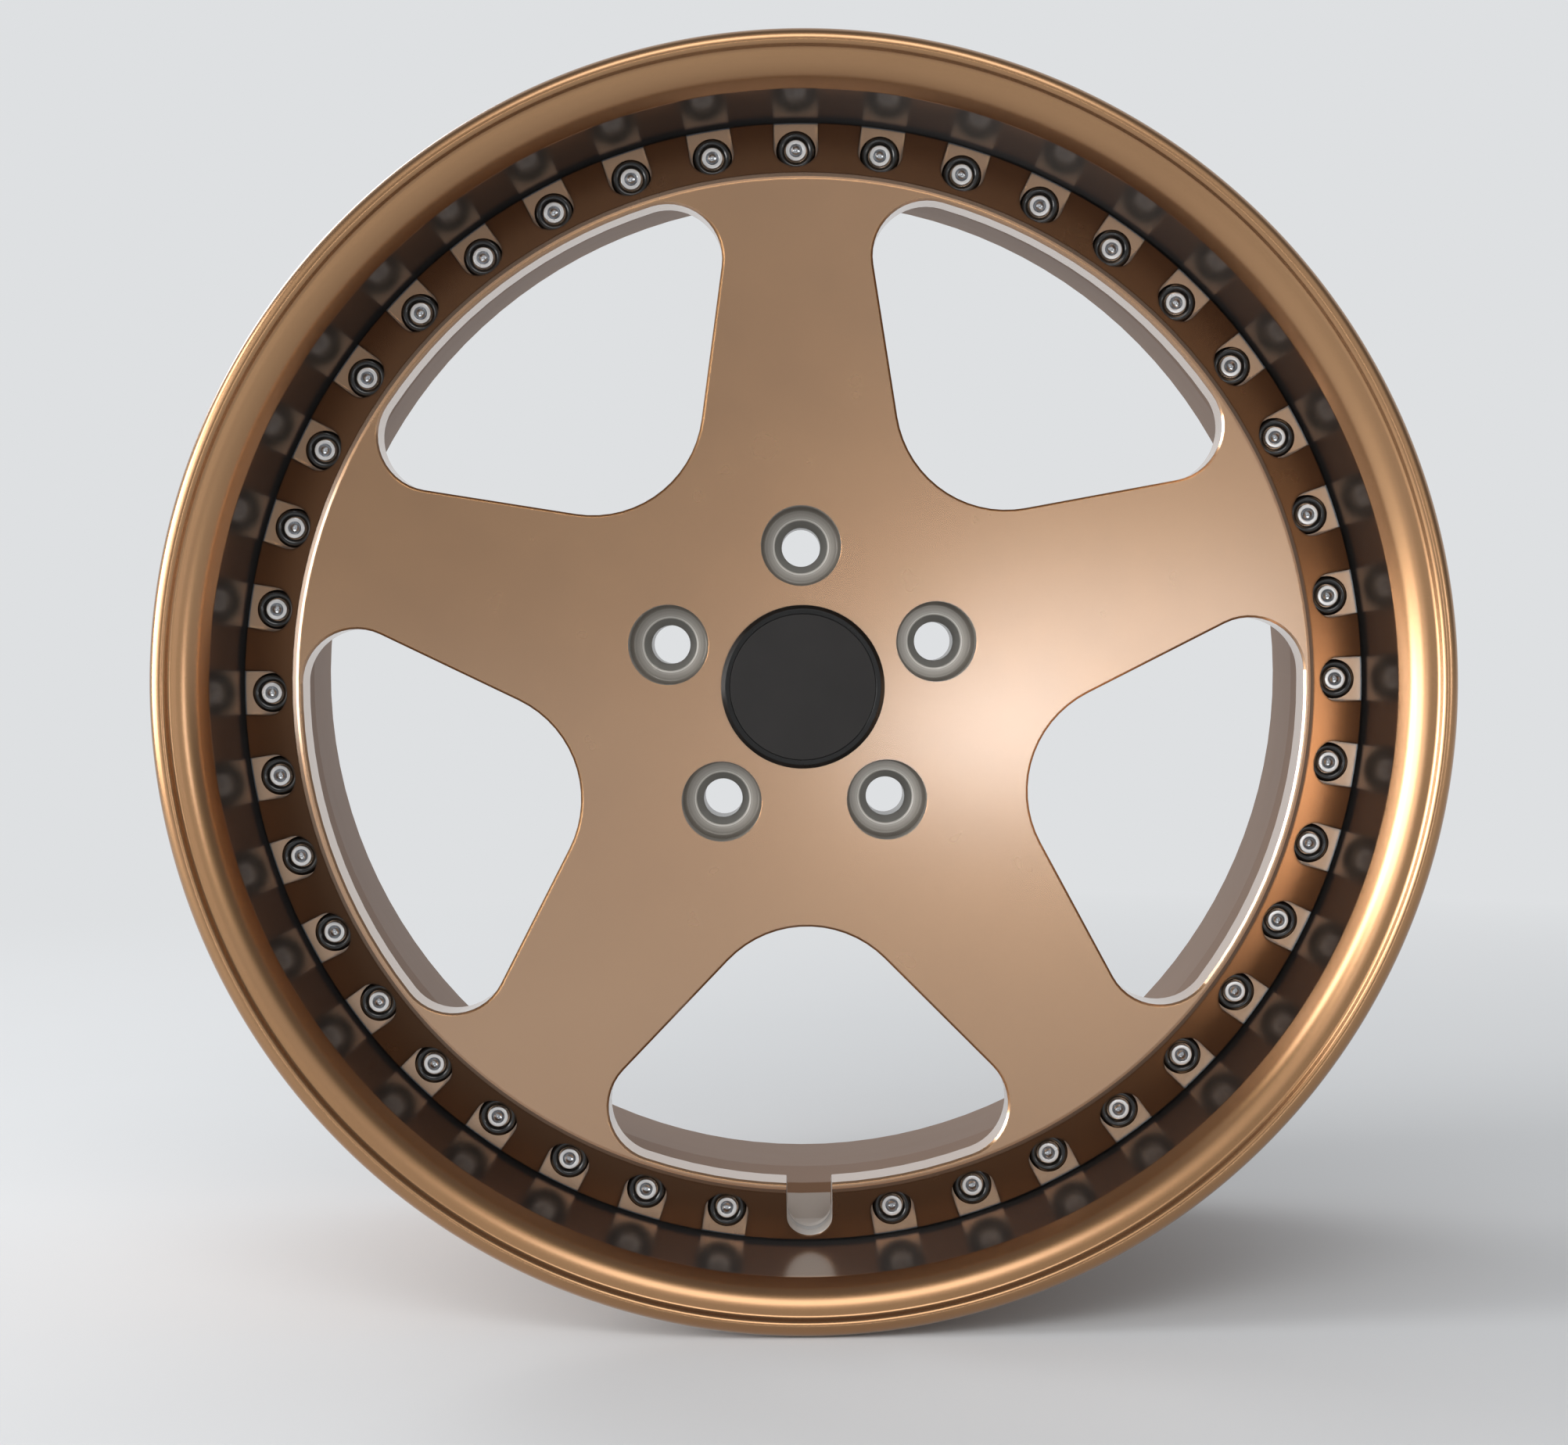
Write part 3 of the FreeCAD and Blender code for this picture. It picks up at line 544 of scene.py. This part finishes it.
def rounded(corners):
    """The closed profile of (radius, height) that rounds every corner by its own radius."""
    points = []
    for index, (across, depth, radius) in enumerate(corners):
        spot = Vector((across, -depth))
        if not radius:
            points.append(tuple(spot))
            continue
        back, ahead = corners[index - 1], corners[(index + 1) % len(corners)]
        back = (Vector((back[0], -back[1])) - spot).normalized()
        ahead = (Vector((ahead[0], -ahead[1])) - spot).normalized()
        half = back.angle(ahead) / 2
        centre = spot + (back + ahead).normalized() * (radius / math.sin(half))
        start = spot + back * (radius / math.tan(half)) - centre
        end = spot + ahead * (radius / math.tan(half)) - centre
        first = math.atan2(start.y, start.x)
        sweep = (math.atan2(end.y, end.x) - first + math.pi) % (2 * math.pi) - math.pi
        count = max(2, math.ceil(abs(math.degrees(sweep)) / 5))
        points += arc(centre, radius, math.degrees(first), math.degrees(first + sweep), count)
    return points


def slot_cutter():
    """A block with the valve slot's outline that reaches through the lip's bolting flange."""
    half = VALVE_SLOT / 2
    top = 190.0 * MM
    outline = [(-half, -top), (half, -top)]
    outline += [(x, z - BOLT_CIRCLE) for x, z in arc((0.0, 0.0), half, 0, -180, 24)]
    mesh = bmesh.new()
    ends = []
    for depth in (FRONT + 50.0 * MM, FRONT + 70.0 * MM):
        ends.append([mesh.verts.new((x, depth, z)) for x, z in outline])
    mesh.faces.new(ends[0])
    mesh.faces.new(ends[1][::-1])
    for index in range(len(outline)):
        after = (index + 1) % len(outline)
        mesh.faces.new((ends[0][index], ends[1][index], ends[1][after], ends[0][after]))
    bmesh.ops.recalc_face_normals(mesh, faces=mesh.faces)
    data = bpy.data.meshes.new("slot_cutter")
    mesh.to_mesh(data)
    mesh.free()
    made = bpy.data.objects.new("slot_cutter", data)
    bpy.context.scene.collection.objects.link(made)
    return made


def make_lip(material):
    """The outer rim half with its rolled, softly rounded front and the valve's notch."""
    mesh = bmesh.new()
    profile = rounded(LIP)
    lathe(mesh, profile + profile[:1], LIP_STEPS, Matrix.Translation((0, FRONT, 0)))
    bmesh.ops.remove_doubles(mesh, verts=mesh.verts, dist=TINY)
    piece = finish_piece("turned_lip", mesh, material, "outer_lip")
    cutter = slot_cutter()
    notch = piece.modifiers.new("notch", "BOOLEAN")
    notch.object = cutter
    notch.solver = "EXACT"
    shape = piece.evaluated_get(bpy.context.evaluated_depsgraph_get())
    data = bpy.data.meshes.new_from_object(shape)
    piece.modifiers.clear()
    piece.data = data
    bpy.data.objects.remove(cutter)


# The dressed wheel

def dress(name, material):
    """Gives a CAD solid its finish."""
    data = nodes[name].data
    data.materials.clear()
    data.materials.append(material)


dress("centre_disc", bronze_disc())
make_lip(bronze_lip())
dress("inner_barrel", bronze_barrel())
dress("seam_seal", plain_finish("sealant", colour(12, 12, 12), colour(22, 22, 22), 0.6))
dress("cap_body", plain_finish(
    "cap_gloss", colour(5, 5, 5), colour(9, 9, 9), 0.3, edge=0.6 * MM, Specular_IOR_Level=0.3))
dress("cap_insert", plain_finish(
    "cap_matt", colour(30, 28, 27), colour(34, 32, 31), 0.6, Specular_IOR_Level=0.25))
black = plain_finish(
    "cup_black", colour(12, 12, 12), colour(24, 24, 24), 0.22,
    Metallic=0.3, Coat_Weight=0.5, Coat_Roughness=0.08)
bright = plain_finish("head_steel", colour(222, 222, 222), colour(238, 238, 238), 0.25, Metallic=0.6)
# Painted shade: the dished middles of the heads are painted darker than the heads, for the shade inside
# them.
dish_shade = plain_finish("dish_steel", colour(150, 153, 157), colour(185, 188, 192), 0.2, Metallic=1.0)
steel = plain_finish("nut_steel", colour(120, 120, 122), colour(150, 150, 152), 0.35, Metallic=1.0)
make_bolts(black, bright, dish_shade)
make_nuts(steel)


# Floor, light and camera

ROOM = colour(222, 224, 226)
FLOOR_REACH = 30.0
FLOOR_GAP = 0.5 * MM
FLOOR_BLEND = (0.35, 1.6)


def make_floor():
    """A plain pale floor that goes over into the room's colour away from the wheel."""
    low = cad_box[0].z - FLOOR_GAP
    data = bpy.data.meshes.new("floor")
    turns = ((-1, -1), (1, -1), (1, 1), (-1, 1))
    corners = [(across * FLOOR_REACH, along * FLOOR_REACH, low) for across, along in turns]
    data.from_pydata(corners, [], [(0, 1, 2, 3)])
    floor = bpy.data.objects.new("floor", data)
    bpy.context.scene.collection.objects.link(floor)
    material, tree, shader = new_material("floor")
    place = place_of(tree)
    cloud = noise(tree, place, 3.0)
    tone = mix_colour(tree, cloud, colour(213, 215, 217), colour(217, 219, 221))
    put(tree, shader.inputs["Base Color"], tone)
    set_on(shader, Roughness=0.9, Specular_IOR_Level=0.1)
    far = ramp(tree, length(tree, place), *FLOOR_BLEND)
    glow = node(tree, "ShaderNodeEmission", {"Color": ROOM}).outputs[0]
    blend = node(tree, "ShaderNodeMixShader", {0: far, 1: shader.outputs[0], 2: glow})
    put(tree, tree.nodes["Material Output"].inputs["Surface"], blend.outputs[0])
    data.materials.append(material)


def make_world():
    """A pale room behind the wheel, dim at its sides, and in front dimmer in the middle and at the left."""
    world = bpy.data.worlds.new("room")
    bpy.context.scene.world = world
    world.use_nodes = True
    tree = world.node_tree
    across, along, up = parts_of(tree, node(tree, "ShaderNodeTexCoord").outputs["Generated"])
    to_right = ramp(tree, across, -0.2, 0.2)
    middle = mix_colour(tree, to_right, colour(138, 138, 139), colour(208, 208, 209))
    upward = ramp(tree, up, -0.4, 0.2)
    ring = mix_colour(tree, upward, colour(205, 205, 206), colour(226, 227, 228))
    front = mix_colour(tree, ramp(tree, along, -0.965, -0.88), middle, ring)
    sides = mix_colour(tree, ramp(tree, along, -0.66, -0.45), front, colour(132, 132, 133))
    room = mix_colour(tree, ramp(tree, along, 0.0, 0.3), sides, ROOM)
    background = tree.nodes["Background"]
    put(tree, background.inputs["Color"], room)
    put(tree, background.inputs["Strength"], 1.0)


def lamp(name, place, width, height, power, aim=(0, -0.1, 0)):
    """A soft box of a width, a height and a power in watts that points at a place."""
    data = bpy.data.lights.new(name, "AREA")
    data.shape = "RECTANGLE"
    data.size, data.size_y = width, height
    data.energy = power
    made = bpy.data.objects.new(name, data)
    bpy.context.scene.collection.objects.link(made)
    made.location = place
    made.rotation_mode = "QUATERNION"
    made.rotation_quaternion = (Vector(aim) - Vector(place)).to_track_quat("-Z", "Y")


PHOTO_WIDTH = 2005
FOCAL_PIXELS = 3246
SENSOR = 36.0
CAMERA = Vector((-0.0030, FRONT - 0.999, 0.0237))
YAW = math.radians(-0.27)
PITCH = math.radians(-2.12)
ROLL = math.radians(0.75)


def make_camera():
    """The photograph's view: a metre in front, a little above the axle, turned by under a degree."""
    data = bpy.data.cameras.new("camera")
    data.sensor_width = SENSOR
    data.lens = SENSOR * FOCAL_PIXELS / PHOTO_WIDTH
    data.clip_start = 0.05
    made = bpy.data.objects.new("camera", data)
    bpy.context.scene.collection.objects.link(made)
    level_part = math.cos(PITCH)
    ahead = Vector((level_part * math.sin(YAW), level_part * math.cos(YAW), math.sin(PITCH)))
    level = ahead.cross(Vector((0, 0, 1))).normalized()
    over = level.cross(ahead)
    right = level * math.cos(ROLL) - over * math.sin(ROLL)
    up = level * math.sin(ROLL) + over * math.cos(ROLL)
    turn = Matrix((right, up, -ahead)).transposed().to_4x4()
    made.matrix_world = Matrix.Translation(CAMERA) @ turn
    bpy.context.scene.camera = made


make_floor()
make_world()
lamp("key", (0.29, -3.3, -0.155), 0.34, 0.15, 1.05)
lamp("key_soft", (0.56, -3.3, -0.20), 0.6, 0.6, 3.2)
lamp("left_window", (-2.4, -1.2, 0.26), 2.1, 1.2, 64.0)
lamp("left_low", (-2.5, -0.72, 0.72), 0.8, 1.7, 34.0)
lamp("left_front", (-1.7, -2.6, 0.3), 0.8, 0.8, 5.0)
lamp("right_spot", (2.0, -2.4, 0.05), 0.35, 0.35, 3.4)
lamp("ceiling", (0.0, -2.2, 1.7), 1.6, 0.9, 15.0)
lamp("back_left", (-1.3, 1.5, 1.1), 1.2, 0.8, 13.0, aim=(0.05, 0, -0.1))
make_camera()
bpy.context.scene.view_settings.view_transform = "Standard"
